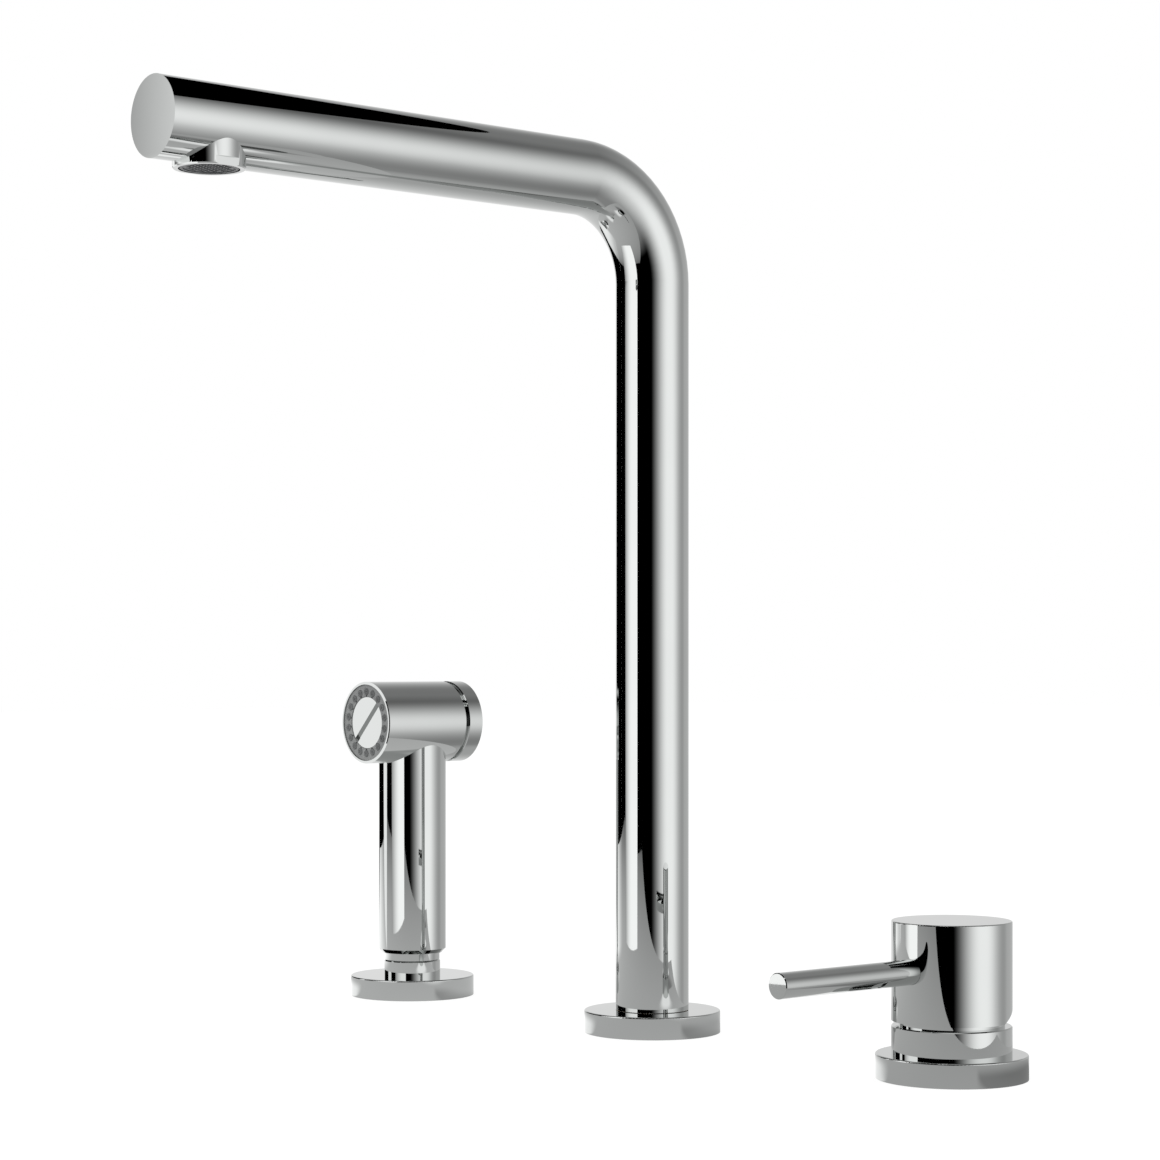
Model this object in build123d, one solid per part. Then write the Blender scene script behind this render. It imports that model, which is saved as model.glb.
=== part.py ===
from build123d import *
import os
from math import cos, hypot, radians, sin, sqrt, tan

# A kitchen faucet set of three units in one row: a side spray, a swivel spout and a single lever mixer.
# Millimetres. The origin is the centre of the spout flange's underside, on the worktop.
# +X runs along the row to the mixer, -Y is the front, +Z is up.

# Row and worktop
unit_pitch = 165.3
worktop_thickness = 30.0

# Fits
running_gap = 0.05      # radial play of a turning or sliding fit, and of a thread
passing_gap = 0.3       # radial play of a washer round a shank
resting_gap = 0.2       # height between a moving piece and the face that it rests on
face_gap = 0.1          # height between two lapped or sealed faces

# Flanges and their gaskets, alike on all three units
flange_radius = 27.9
flange_thickness = 9.0
flange_round = 0.6
gasket_outer = 25.5
gasket_width = 3.5
gasket_thickness = 1.6

# Clamping set under the worktop
rubber_washer_thickness = 3.0
steel_washer_thickness = 2.0
washer_radius = 24.0
nut_height = 10.0
nut_wall = 6.0
shank_depth = 60.0

# Spout tube
tube_radius = 15.0
tube_wall = 1.5
arm_height = 346.3
arm_reach = 237.0
bend_radius = 40.0
end_cap_thickness = 1.5
end_plug_length = 6.0

# Spout shank and swivel
spout_thread_radius = 13.5
shank_head_radius = 14.6
shank_head_height = 4.0
spigot_radius = 11.0
spigot_height = 52.0
spigot_bevel = 1.0
waterway_radius = 6.5
swivel_ring_thickness = 1.5
foot_top = 48.0
seal_heights = (24.0, 34.0)
seal_cord_radius = 0.8
clip_thickness = 1.2
clip_depth = 1.0
clip_lip = 1.6

# Outlet and aerator
outlet_setback = 23.6
boss_radius = 13.3
boss_drop = 1.4
boss_chamfer = 0.4
boss_flat = 12.35         # from the boss's axis to each of its two spanner flats
boss_flat_height = 2.9
sleeve_radius = 12.1
sleeve_top_below_axis = 2.5
sleeve_lip = 1.5
aerator_thread_radius = 10.8
mouth_radius = 11.2
mouth_depth = 3.0
aerator_rim_radius = 10.7
aerator_inset = 0.2
aerator_length = 10.8
aerator_bore = 8.3
aerator_washer_thickness = 1.3
honeycomb_radius = 9.5
honeycomb_thickness = 3.0
honeycomb_inset = 0.3
honeycomb_rim = 0.4
cell_across = 1.7
cell_web = 0.4

# Diverter under the spout
diverter_radius = 12.0
diverter_length = 52.0
diverter_spigot_radius = 9.0
diverter_spigot_length = 10.0
piston_radius = 7.0
window_radius = 6.0
window_height = 13.0
seat_radius = 5.0
seat_thickness = 3.0
seat_drop = 4.0
head_chamber_play = 1.0
piston_travel = 4.0
piston_land_height = 8.0
piston_stem_radius = 2.2
piston_head_radius = 6.0
piston_head_height = 3.0
piston_seal_thickness = 1.5
diverter_spring_wire = 0.4
diverter_spring_radius = 5.5
diverter_spring_length = 14.0
diverter_spring_turns = 5
plug_head_height = 5.0
plug_head_flats = 10.0
inlet_nipple_radius = 8.3
inlet_nipple_bore = 5.0
outlet_nipple_radius = 7.5
outlet_nipple_bore = 3.5
nipple_reach = 30.0
nipple_shoulder_reach = 14.0
nipple_shoulder_width = 1.2

# Mixer body
mixer_thread_radius = 16.0
mixer_ring_radius = 22.0
mixer_ring_top = 19.3
mixer_ring_bevel = 0.4
mixer_spigot_radius = 20.0
mixer_spigot_low = 2.0
mixer_neck_radius = 19.3
mixer_neck_top = 27.0
chamber_radius = 17.65
chamber_floor = 3.5
port_radius = 3.2
port_ring_radius = 8.5
port_thread_radius = 4.5
port_thread_length = 12.0

# Mixer cartridge
cartridge_radius = 17.5
cartridge_wall = 1.6
base_thickness = 4.0
port_seal_cord = 0.75
fixed_disc_thickness = 3.5
disc_port_radius = 3.0
disc_slot_radius = 2.7
disc_slot_length = 9.0
disc_slot_shift = 3.0
moving_disc_thickness = 3.0
moving_disc_radius = 12.0
mixing_recess_radius = 6.6
mixing_recess_back = 2.2
mixing_recess_depth = 1.6
driver_thickness = 4.6
lever_pivot_height = 26.0
pivot_to_ball = 8.2
ball_radius = 2.2
ball_play = 0.15
ball_neck_radius = 1.7
pin_radius = 1.5
pin_inset = 0.6
spindle_width = 7.0
spindle_top = 46.0
turret_radius = 12.3
turret_flange_radius = 15.5
turret_flange_thickness = 2.0
turret_play = 0.6
turret_above_pin = 3.5
turret_slot_length = 11.6
housing_neck_radius = 14.6
turret_showing = 0.5  # above the housing
cartridge_nut_top = 27.6
key_slot_width = 3.0
key_slot_depth = 1.5

# Mixer cap and lever
cap_radius = 22.0
cap_bottom = 21.0
cap_top = 57.5
cap_wall = 1.4
cap_roof = 3.0
cap_round = 0.5
lever_lift = 25.0
relief_start = 4.5
hub_radius = 8.5
hub_bottom = 35.0
lever_radius = 4.6
lever_height = 40.06
lever_reach = 88.2
lever_tip_bevel = 0.3
lever_stud_radius = 3.0
lever_stud_inset = 1.0
grub_radius = 2.5
grub_length = 4.6
grub_socket = 2.5
grub_socket_depth = 2.0

# Spray holder
holder_thread_radius = 11.0
holder_collar_radius = 12.7
holder_collar_top = 15.9
holder_collar_bevel = 0.5
holder_bore = 9.6
liner_wall = 0.8
liner_length = 14.5
liner_inset = 0.5

# Spray handle
handle_radius = 15.25
handle_wall = 1.8
handle_bottom = 19.2
handle_chamfer = 2.0
neck_radius = 12.4
foot_spigot_radius = 8.4
foot_spigot_bottom = -2.0
foot_thread_length = 14.0
swivel_radius = 8.2
swivel_length = 12.0
swivel_journal_radius = 5.5
journal_end_play = 0.5
swivel_journal_length = 12.0
swivel_bore = 3.3
swivel_seal_drop = 3.5
hose_thread_radius = 6.9
hose_thread_length = 9.0
riser_radius = 5.5
riser_wall = 1.2
riser_seat = 8.0
riser_stop = 1.0

# Spray head
head_radius = 18.4
head_height = 124.0
head_front = 26.2
head_back = 16.6
head_socket_radius = 13.3
head_socket_depth = 8.0
face_bore_radius = 17.2
face_bore_depth = 5.2
diffuser_radius = 16.0
diffuser_thickness = 3.0
diffuser_gap = 3.0
diffuser_hole = 1.5
diffuser_hole_count = 12
spray_chamber_back = 8.0
valve_bore_radius = 7.0
head_rim_chamfer = 0.35

# Spray face
nozzle_count = 18
nozzle_ring_radius = 17.1
nozzle_plate_inset = 0.6
nozzle_plate_thickness = 4.4
nozzle_circle = 12.3
nozzle_boss_radius = 1.35
nozzle_bore = 0.55
nozzle_plate_opening = 11.7
face_screw_radius = 11.5
face_screw_inset = 0.9
face_screw_head = 2.5
face_screw_stud = 3.0
face_screw_stud_length = 9.0
screw_slot_width = 2.7
screw_slot_depth = 1.3
screw_slot_turn = -45.0

# Spray valve and button
button_front = 18.84
button_back = 26.58
button_wall = 2.0
button_skin = 0.6
button_travel = 2.0
button_neck_radius = 17.0
button_bore_play = 0.1
stem_radius = 2.5
stem_head_thickness = 1.0
stem_waist = 1.0
valve_seal_radius = 4.6
valve_seal_thickness = 2.0
valve_seat_radius = 3.4
valve_body_back = 6.0
valve_port_radius = 3.0
valve_end_wall = 2.0
spring_pocket_radius = 6.2
spring_pocket_front = 12.0
button_spring_wire = 0.35
button_spring_radius = 4.6
button_spring_turns = 5

spray_at = Pos(-unit_pitch, 0, 0)
spout_at = Pos(0, 0, 0)
mixer_at = Pos(unit_pitch, 0, 0)
unit_places = (spray_at, spout_at, mixer_at)

UP = (Align.CENTER, Align.CENTER, Align.MIN)
parts = {}


def rod(radius, low, high):
    """An upright cylinder on the Z axis between two heights."""
    return Pos(0, 0, low) * Cylinder(radius, high - low, align=UP)


def ring(outer, inner, low, high):
    """A flat ring or a sleeve on the Z axis."""
    return extrude(Pos(0, 0, low) * (Circle(outer) - Circle(inner)), high - low)


def turned(*outline):
    """A turned solid: the outline is (radius, height) points round the right half of the section."""
    section = Plane.XZ * make_face(Polyline(*outline, close=True))
    return revolve(section, axis=Axis.Z)


def hexagon(flats, low, high):
    """A hexagon bar given by the distance from its axis to a flat, with turned corners."""
    bar = extrude(Pos(0, 0, low) * RegularPolygon(flats, 6, major_radius=False), high - low)
    corner = flats / cos(radians(30))
    drop = (corner - flats) * tan(radians(30))
    blank = turned(
        (0, low),
        (flats, low),
        (corner, low + drop),
        (corner, high - drop),
        (flats, high),
        (0, high),
    )
    return bar & blank


def seal(centre_radius, cord_radius, height):
    """An O-ring on the Z axis."""
    return Pos(0, 0, height) * Torus(centre_radius, cord_radius)


def spring(mean_radius, wire_radius, low, high, turns):
    """A compression spring on the Z axis: one wire in a helix, with its least gap printed."""
    pitch = (high - low - 2 * wire_radius) / turns
    path = Pos(0, 0, low + wire_radius) * Helix(pitch, pitch * turns, mean_radius)
    print("spring gap between turns", round(pitch - 2 * wire_radius, 3))
    return sweep(Plane(origin=path @ 0, z_dir=path % 0) * Circle(wire_radius), path=path, is_frenet=True)


def along_y(part):
    """Turns a part about the Z axis to lie along Y, so that its heights become distances to the back."""
    return Rot(-90, 0, 0) * part


def round_top(part, radius):
    """Rounds the outer edge of a turned part's top face."""
    rim = part.faces().sort_by(Axis.Z)[-1].edges().sort_by(SortBy.LENGTH)[-1]
    return fillet(rim, radius)


# Flanges

gasket_inner = gasket_outer - gasket_width


def flange(bore, pocket_radius, pocket_low):
    """A turned disc with a gasket groove below, a bore for the shank and a pocket from above."""
    disc = round_top(rod(flange_radius, 0, flange_thickness), flange_round)
    disc -= rod(bore, -1, flange_thickness + 1)
    disc -= rod(pocket_radius, pocket_low, flange_thickness + 1)
    return disc - ring(gasket_outer + running_gap, gasket_inner - running_gap, 0, gasket_thickness)


shank_head_low = flange_thickness - resting_gap - shank_head_height
parts["spout_flange"] = flange(
    spout_thread_radius + running_gap, shank_head_radius + running_gap, shank_head_low
)
parts["mixer_flange"] = mixer_at * flange(
    mixer_thread_radius + running_gap, mixer_spigot_radius + running_gap, mixer_spigot_low
)
parts["spray_flange"] = spray_at * flange(
    holder_thread_radius + running_gap, holder_thread_radius + running_gap, 0
)
gasket = ring(gasket_outer, gasket_inner, 0, gasket_thickness)
parts["flange_gaskets"] = Compound([place * gasket for place in unit_places])

# Clamping sets under the worktop

rubber_low = -worktop_thickness - rubber_washer_thickness
steel_low = rubber_low - steel_washer_thickness
nut_low = steel_low - nut_height
threads = {"spout": spout_thread_radius, "mixer": mixer_thread_radius, "spray": holder_thread_radius}
for name, place in zip(("spray", "spout", "mixer"), unit_places):
    thread = threads[name]
    rubber_washer = ring(washer_radius, thread + passing_gap, rubber_low, -worktop_thickness)
    steel_washer = ring(washer_radius, thread + passing_gap, steel_low, rubber_low)
    nut = hexagon(thread + nut_wall, nut_low, steel_low) - rod(thread + running_gap, nut_low, steel_low)
    parts[name + "_rubber_washer"] = place * rubber_washer
    parts[name + "_steel_washer"] = place * steel_washer
    parts[name + "_locknut"] = place * nut

# Spout shank: a head that clamps the flange, a spigot that the spout turns on and a threaded shank

head_top = shank_head_low + shank_head_height
groove_radius = spigot_radius - 2 * seal_cord_radius - running_gap
groove_half = seal_cord_radius + 2 * running_gap
shank = turned(
    (0, -shank_depth),
    (spout_thread_radius, -shank_depth),
    (spout_thread_radius, shank_head_low),
    (shank_head_radius, shank_head_low),
    (shank_head_radius, head_top),
    (spigot_radius, head_top),
    (spigot_radius, spigot_height - spigot_bevel),
    (spigot_radius - spigot_bevel, spigot_height),
    (0, spigot_height),
)
for height in seal_heights:
    shank -= ring(spigot_radius + 1, groove_radius, height - groove_half, height + groove_half)
clip_low = foot_top + resting_gap
shank -= ring(
    spigot_radius + 1, spigot_radius - clip_depth, clip_low, clip_low + clip_thickness + 2 * running_gap
)
shank -= rod(waterway_radius, -shank_depth - 1, spigot_height + 1)
shank -= rod(diverter_spigot_radius + running_gap, -shank_depth - 1, -shank_depth + diverter_spigot_length)
parts["spout_shank"] = shank

seal_centre = groove_radius + seal_cord_radius + running_gap / 2
seal_cord = seal_cord_radius - running_gap / 2
parts["spout_seals"] = Compound([seal(seal_centre, seal_cord, height) for height in seal_heights])
ring_top = head_top + swivel_ring_thickness
foot_radius = tube_radius - tube_wall - running_gap
parts["swivel_ring"] = ring(foot_radius, spigot_radius + running_gap, head_top, ring_top)
clip = ring(
    spigot_radius + clip_lip,
    spigot_radius - clip_depth + running_gap,
    clip_low + running_gap,
    clip_low + running_gap + clip_thickness,
)
clip_mouth = Box(spigot_radius, 3 * spigot_radius, 4 * clip_thickness)
parts["retaining_clip"] = clip - Pos(spigot_radius, 0, clip_low) * clip_mouth

# Spout tube, bent from one length, with the sleeve brazed in its foot

tube_bottom = flange_thickness + resting_gap
arm_end = -arm_reach + end_cap_thickness
corner_point = (0, 0, arm_height)
tube_path = FilletPolyline((0, 0, tube_bottom), corner_point, (0, arm_end, arm_height), radius=bend_radius)
tube_section = Circle(tube_radius) - Circle(tube_radius - tube_wall)
spout_tube = sweep(Pos(0, 0, tube_bottom) * tube_section, path=tube_path)
outlet_reach = arm_reach - outlet_setback
outlet_at = Pos(0, -outlet_reach, 0)
spout_tube -= outlet_at * rod(sleeve_radius + running_gap, arm_height - 2 * tube_radius, arm_height)
parts["spout_tube"] = spout_tube

foot_low = ring_top + resting_gap
parts["spout_foot"] = ring(foot_radius, spigot_radius + running_gap, foot_low, foot_top)

end_cap = turned(
    (0, -arm_reach),
    (tube_radius, -arm_reach),
    (tube_radius, arm_end),
    (tube_radius - tube_wall - running_gap, arm_end),
    (tube_radius - tube_wall - running_gap, arm_end + end_plug_length),
    (tube_radius - 3 * tube_wall, arm_end + end_plug_length),
    (tube_radius - 3 * tube_wall, arm_end),
    (0, arm_end),
)
parts["spout_end_cap"] = Pos(0, 0, arm_height) * along_y(end_cap)

# Outlet collar: a short boss saddled on the arm's underside and sleeved through its wall

boss_low = arm_height - tube_radius - boss_drop
sleeve_top = arm_height - sleeve_top_below_axis
arm_envelope = Pos(0, 0, arm_height) * along_y(rod(tube_radius, -arm_reach, 0))
boss = turned(
    (0, boss_low),
    (boss_radius - boss_chamfer, boss_low),
    (boss_radius, boss_low + boss_chamfer),
    (boss_radius, arm_height),
    (0, arm_height),
)
collar = outlet_at * boss - arm_envelope
collar += outlet_at * rod(sleeve_radius, boss_low, sleeve_top)
mouth_top = boss_low + mouth_depth
aerator_low = boss_low + aerator_inset
aerator_top = aerator_low + aerator_length
boss_side = 2 * (boss_radius - boss_flat)
for side in (-1, 1):
    flat_at = Pos(side * boss_radius, 0, boss_low)
    collar -= outlet_at * flat_at * Box(boss_side, 2 * boss_radius, 2 * boss_flat_height)
collar -= outlet_at * rod(mouth_radius, boss_low - 1, mouth_top)
collar -= outlet_at * rod(aerator_thread_radius, boss_low - 1, aerator_top + aerator_washer_thickness)
collar -= outlet_at * rod(aerator_bore, boss_low - 1, sleeve_top + 1)
parts["outlet_collar"] = collar

honeycomb_low = aerator_low + honeycomb_inset
honeycomb_top = honeycomb_low + honeycomb_thickness
aerator = turned(
    (aerator_bore - sleeve_lip, honeycomb_top),
    (honeycomb_radius + running_gap, honeycomb_top),
    (honeycomb_radius + running_gap, aerator_low),
    (aerator_rim_radius, aerator_low),
    (aerator_rim_radius, mouth_top),
    (aerator_thread_radius - running_gap, mouth_top),
    (aerator_thread_radius - running_gap, aerator_top),
    (aerator_bore, aerator_top),
    (aerator_bore, honeycomb_top + sleeve_lip),
    (aerator_bore - sleeve_lip, honeycomb_top + sleeve_lip),
)
parts["aerator_housing"] = outlet_at * aerator
aerator_washer = ring(
    aerator_thread_radius - running_gap, aerator_bore, aerator_top, aerator_top + aerator_washer_thickness
)
parts["aerator_washer"] = outlet_at * aerator_washer

cell_pitch = cell_across + cell_web
cell_reach = honeycomb_radius - honeycomb_rim - cell_across / 2
row_pitch = cell_pitch * sqrt(3) / 2
row_count = int(cell_reach / row_pitch)
cell_centres = [
    ((column + (row % 2) / 2) * cell_pitch, row * row_pitch)
    for row in range(-row_count, row_count + 1)
    for column in range(-row_count - 1, row_count + 1)
]
cell = RegularPolygon(cell_across / 2, 6, major_radius=False, rotation=30)
cells = [Pos(x, y) * cell for x, y in cell_centres if hypot(x, y) <= cell_reach]
honeycomb = extrude(Pos(0, 0, honeycomb_low) * (Circle(honeycomb_radius) - cells), honeycomb_thickness)
parts["aerator_honeycomb"] = outlet_at * honeycomb

# Diverter: its piston moves down when the spray is opened, shuts the way to the spout and opens the spray's

diverter_top = -shank_depth
diverter_bottom = diverter_top - diverter_length
seat_low = diverter_top - seat_drop - seat_thickness
seat_top = seat_low + seat_thickness
window_low = seat_low - window_height
inlet_height = seat_low - window_height / 2
outlet_height = window_low - piston_land_height / 2
diverter = turned(
    (0, diverter_bottom),
    (diverter_radius, diverter_bottom),
    (diverter_radius, diverter_top),
    (diverter_spigot_radius, diverter_top),
    (diverter_spigot_radius, diverter_top + diverter_spigot_length),
    (0, diverter_top + diverter_spigot_length),
)
inlet_nipple = rod(inlet_nipple_radius, 0, nipple_reach)
inlet_nipple += rod(inlet_nipple_radius + nipple_shoulder_width, 0, nipple_shoulder_reach)
outlet_nipple = rod(outlet_nipple_radius, 0, nipple_reach)
outlet_nipple += rod(outlet_nipple_radius + nipple_shoulder_width, 0, nipple_shoulder_reach)
diverter += Pos(0, 0, inlet_height) * along_y(inlet_nipple)
diverter += Pos(0, 0, outlet_height) * Rot(0, -90, 0) * outlet_nipple
chamber_top = diverter_top + diverter_spigot_length + 1
diverter -= rod(piston_radius, diverter_bottom - 1, window_low)
diverter -= rod(window_radius, window_low - 1, seat_low)
diverter -= rod(seat_radius, seat_low - 1, seat_top)
diverter -= rod(piston_head_radius + head_chamber_play, seat_top, chamber_top)
diverter -= Pos(0, 0, inlet_height) * along_y(rod(inlet_nipple_bore, 0, nipple_reach + 1))
diverter -= Pos(0, 0, outlet_height) * Rot(0, -90, 0) * rod(outlet_nipple_bore, 0, nipple_reach + 1)
parts["diverter_body"] = diverter

piston_seal_low = seat_top + piston_travel + resting_gap
piston_head_low = piston_seal_low + piston_seal_thickness
land_top = window_low - running_gap
land_low = land_top - piston_land_height
parts["diverter_piston"] = turned(
    (0, land_low),
    (piston_radius - running_gap, land_low),
    (piston_radius - running_gap, land_top),
    (piston_stem_radius, land_top),
    (piston_stem_radius, piston_head_low),
    (piston_head_radius, piston_head_low),
    (piston_head_radius, piston_head_low + piston_head_height),
    (0, piston_head_low + piston_head_height),
)
parts["diverter_seal"] = ring(piston_head_radius, piston_stem_radius, piston_seal_low, piston_head_low)
plug_top = land_low - diverter_spring_length
plug_low = diverter_bottom - plug_head_height
plug = rod(piston_radius - running_gap, diverter_bottom, plug_top)
parts["diverter_plug"] = plug + hexagon(plug_head_flats, plug_low, diverter_bottom)
parts["diverter_spring"] = spring(
    diverter_spring_radius,
    diverter_spring_wire,
    plug_top + running_gap,
    land_low - running_gap,
    diverter_spring_turns,
)

# Mixer body: ring, chamber for the cartridge and a shank with three waterways

body = turned(
    (0, -shank_depth),
    (mixer_thread_radius, -shank_depth),
    (mixer_thread_radius, mixer_spigot_low),
    (mixer_spigot_radius, mixer_spigot_low),
    (mixer_spigot_radius, flange_thickness),
    (mixer_ring_radius, flange_thickness),
    (mixer_ring_radius, mixer_ring_top - mixer_ring_bevel),
    (mixer_ring_radius - mixer_ring_bevel, mixer_ring_top),
    (mixer_neck_radius, mixer_ring_top),
    (mixer_neck_radius, mixer_neck_top),
    (chamber_radius, mixer_neck_top),
    (chamber_radius, chamber_floor),
    (0, chamber_floor),
)
port_angles = {"hot": 210, "cold": 330, "mixed": 90}
port_spots = [
    Pos(port_ring_radius * cos(radians(angle)), port_ring_radius * sin(radians(angle)), 0)
    for angle in port_angles.values()
]
for spot in port_spots:
    body -= spot * rod(port_radius, -shank_depth - 1, chamber_floor + 1)
    body -= spot * rod(port_thread_radius, -shank_depth - 1, -shank_depth + port_thread_length)
parts["mixer_body"] = mixer_at * body

# Mixer cartridge, from the bottom up

base_low = chamber_floor + face_gap
base_top = base_low + base_thickness
base = rod(cartridge_radius, base_low, base_top)
seal_pocket = 2 * port_seal_cord + face_gap
seal_ring_radius = port_radius + port_seal_cord + face_gap
for spot in port_spots:
    base -= spot * rod(port_radius, base_low - 1, base_top + 1)
    base -= spot * rod(seal_ring_radius + port_seal_cord + face_gap, base_low - 1, base_low + seal_pocket)
parts["cartridge_base"] = mixer_at * base
port_seal = seal(seal_ring_radius, port_seal_cord, chamber_floor + port_seal_cord + running_gap / 2)
parts["port_seals"] = Compound([mixer_at * spot * port_seal for spot in port_spots])

housing_bore = cartridge_radius - cartridge_wall
fixed_disc_top = base_top + fixed_disc_thickness
fixed_disc = rod(housing_bore - running_gap, base_top, fixed_disc_top)
for spot in port_spots[:2]:
    fixed_disc -= spot * rod(disc_port_radius, base_top - 1, fixed_disc_top + 1)
outlet_slot = Pos(0, port_ring_radius - disc_slot_shift, base_top)
outlet_slot *= SlotOverall(disc_slot_length, 2 * disc_slot_radius, rotation=90)
fixed_disc -= extrude(outlet_slot, fixed_disc_thickness)
parts["fixed_disc"] = mixer_at * fixed_disc

moving_disc_low = fixed_disc_top + face_gap
moving_disc_top = moving_disc_low + moving_disc_thickness
moving_disc = rod(moving_disc_radius, moving_disc_low, moving_disc_top)
mixing_recess = rod(mixing_recess_radius, moving_disc_low, moving_disc_low + mixing_recess_depth)
parts["moving_disc"] = mixer_at * (moving_disc - Pos(0, mixing_recess_back, 0) * mixing_recess)

driver_top = moving_disc_top + driver_thickness
ball_height = lever_pivot_height - pivot_to_ball
ball_socket_low = ball_height - ball_radius - ball_play
driver = rod(moving_disc_radius, moving_disc_top, driver_top)
parts["disc_driver"] = mixer_at * (driver - rod(ball_radius + ball_play, ball_socket_low, driver_top + 1))

turret_top = lever_pivot_height + turret_above_pin
turret_flange_low = driver_top + turret_play
turret_flange_top = turret_flange_low + turret_flange_thickness
turret = rod(turret_flange_radius, turret_flange_low, turret_flange_top)
turret += rod(turret_radius, turret_flange_low, turret_top)
spindle_slot = Box(spindle_width + 2 * resting_gap, turret_slot_length, turret_top)
turret -= Pos(0, 0, lever_pivot_height) * spindle_slot
pin_hole = Pos(0, 0, lever_pivot_height) * Rot(0, 90, 0) * rod(pin_radius, -turret_radius, turret_radius)
pin_end = turret_radius - pin_inset
pin = Pos(0, 0, lever_pivot_height) * Rot(0, 90, 0) * rod(pin_radius, -pin_end, pin_end)
parts["turret"] = mixer_at * (turret - pin_hole)
parts["lever_pin"] = mixer_at * pin

housing_shoulder = turret_flange_top + resting_gap
housing_top = turret_top - turret_showing
housing = turned(
    (cartridge_radius, base_top),
    (cartridge_radius, housing_shoulder + cartridge_wall),
    (housing_neck_radius, housing_shoulder + cartridge_wall),
    (housing_neck_radius, housing_top),
    (turret_radius + running_gap, housing_top),
    (turret_radius + running_gap, housing_shoulder),
    (housing_bore, housing_shoulder),
    (housing_bore, base_top),
)
parts["cartridge_housing"] = mixer_at * housing

nut_radius = chamber_radius - running_gap
cartridge_nut = ring(
    nut_radius, housing_neck_radius + face_gap, housing_shoulder + cartridge_wall, cartridge_nut_top
)
key_slot = Pos(0, 0, cartridge_nut_top) * Box(2 * nut_radius + 2, key_slot_width, 2 * key_slot_depth)
for turn in (0, 60, 120):
    cartridge_nut -= Rot(0, 0, turn) * key_slot
parts["cartridge_nut"] = mixer_at * cartridge_nut

# Lever spindle: a square bar on the pin, with a ball that moves the disc

spindle_half = spindle_width / 2
bar_low = lever_pivot_height - spindle_half
bar = Pos(0, 0, bar_low) * Box(spindle_width, spindle_width, spindle_top - bar_low, align=UP)
bar += rod(ball_neck_radius, ball_height, bar_low)
bar += Pos(0, 0, ball_height) * Sphere(ball_radius)
spindle_hole = Rot(0, 90, 0) * rod(pin_radius + running_gap, -spindle_width, spindle_width)
parts["lever_spindle"] = mixer_at * (bar - Pos(0, 0, lever_pivot_height) * spindle_hole)

# Mixer cap: a thin cup with a hub on the spindle, relieved at the back so that it can tilt

cap = rod(cap_radius, cap_bottom, cap_top)
cap = round_top(cap, cap_round)
cap_bore = cap_radius - cap_wall
cap -= rod(cap_bore, cap_bottom - 1, cap_top - cap_roof) - rod(hub_radius, hub_bottom, cap_top)
socket_width = spindle_width + 2 * running_gap
socket_depth = spindle_top + resting_gap - hub_bottom
cap -= Pos(0, 0, hub_bottom) * Box(socket_width, socket_width, socket_depth, align=UP)
relief_slope = tan(radians(lever_lift))
relief_end = relief_start + 2 * cap_radius
relief = Plane.YZ * make_face(
    Polyline(
        (relief_start, cap_bottom),
        (relief_end, cap_bottom + relief_slope * (relief_end - relief_start)),
        (relief_end, cap_bottom - 1),
        (relief_start - 1 / relief_slope, cap_bottom - 1),
        close=True,
    )
)
cap -= extrude(relief, 2 * cap_radius, both=True)
lever_line = Pos(0, 0, lever_height)
lever_shoulder = hub_radius + resting_gap
cap -= lever_line * along_y(rod(lever_radius + running_gap, -cap_radius - 1, -lever_shoulder))
cap -= lever_line * along_y(rod(lever_stud_radius + running_gap, -lever_shoulder, -spindle_half))
cap -= lever_line * along_y(rod(grub_radius + running_gap, 0, cap_radius + 1))
parts["mixer_cap"] = mixer_at * cap

lever = turned(
    (0, -lever_reach),
    (lever_radius - lever_tip_bevel, -lever_reach),
    (lever_radius, -lever_reach + lever_tip_bevel),
    (lever_radius, -lever_shoulder),
    (lever_stud_radius, -lever_shoulder),
    (lever_stud_radius, -spindle_half - lever_stud_inset),
    (0, -spindle_half - lever_stud_inset),
)
parts["lever_rod"] = mixer_at * lever_line * along_y(lever)
grub_start = spindle_half + running_gap
grub = rod(grub_radius, grub_start, grub_start + grub_length)
grub_key_floor = grub_start + grub_length - grub_socket_depth
grub_key = Pos(0, 0, grub_key_floor) * RegularPolygon(grub_socket / 2, 6, major_radius=False)
parts["grub_screw"] = mixer_at * lever_line * along_y(grub - extrude(grub_key, grub_length))

# Spray holder: a collar that the hand spray rests on, a threaded shank and a plastic liner

holder = turned(
    (holder_bore, -shank_depth),
    (holder_thread_radius, -shank_depth),
    (holder_thread_radius, flange_thickness),
    (holder_collar_radius, flange_thickness),
    (holder_collar_radius, holder_collar_top - holder_collar_bevel),
    (holder_collar_radius - holder_collar_bevel, holder_collar_top),
    (holder_bore, holder_collar_top),
)
parts["spray_holder"] = spray_at * holder
liner_outer = holder_bore - running_gap
liner_top = holder_collar_top - liner_inset
liner_low = liner_top - liner_length
parts["holder_liner"] = spray_at * ring(liner_outer, liner_outer - liner_wall, liner_low, liner_top)

# Spray foot, with the hose swivel that turns in it

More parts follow.
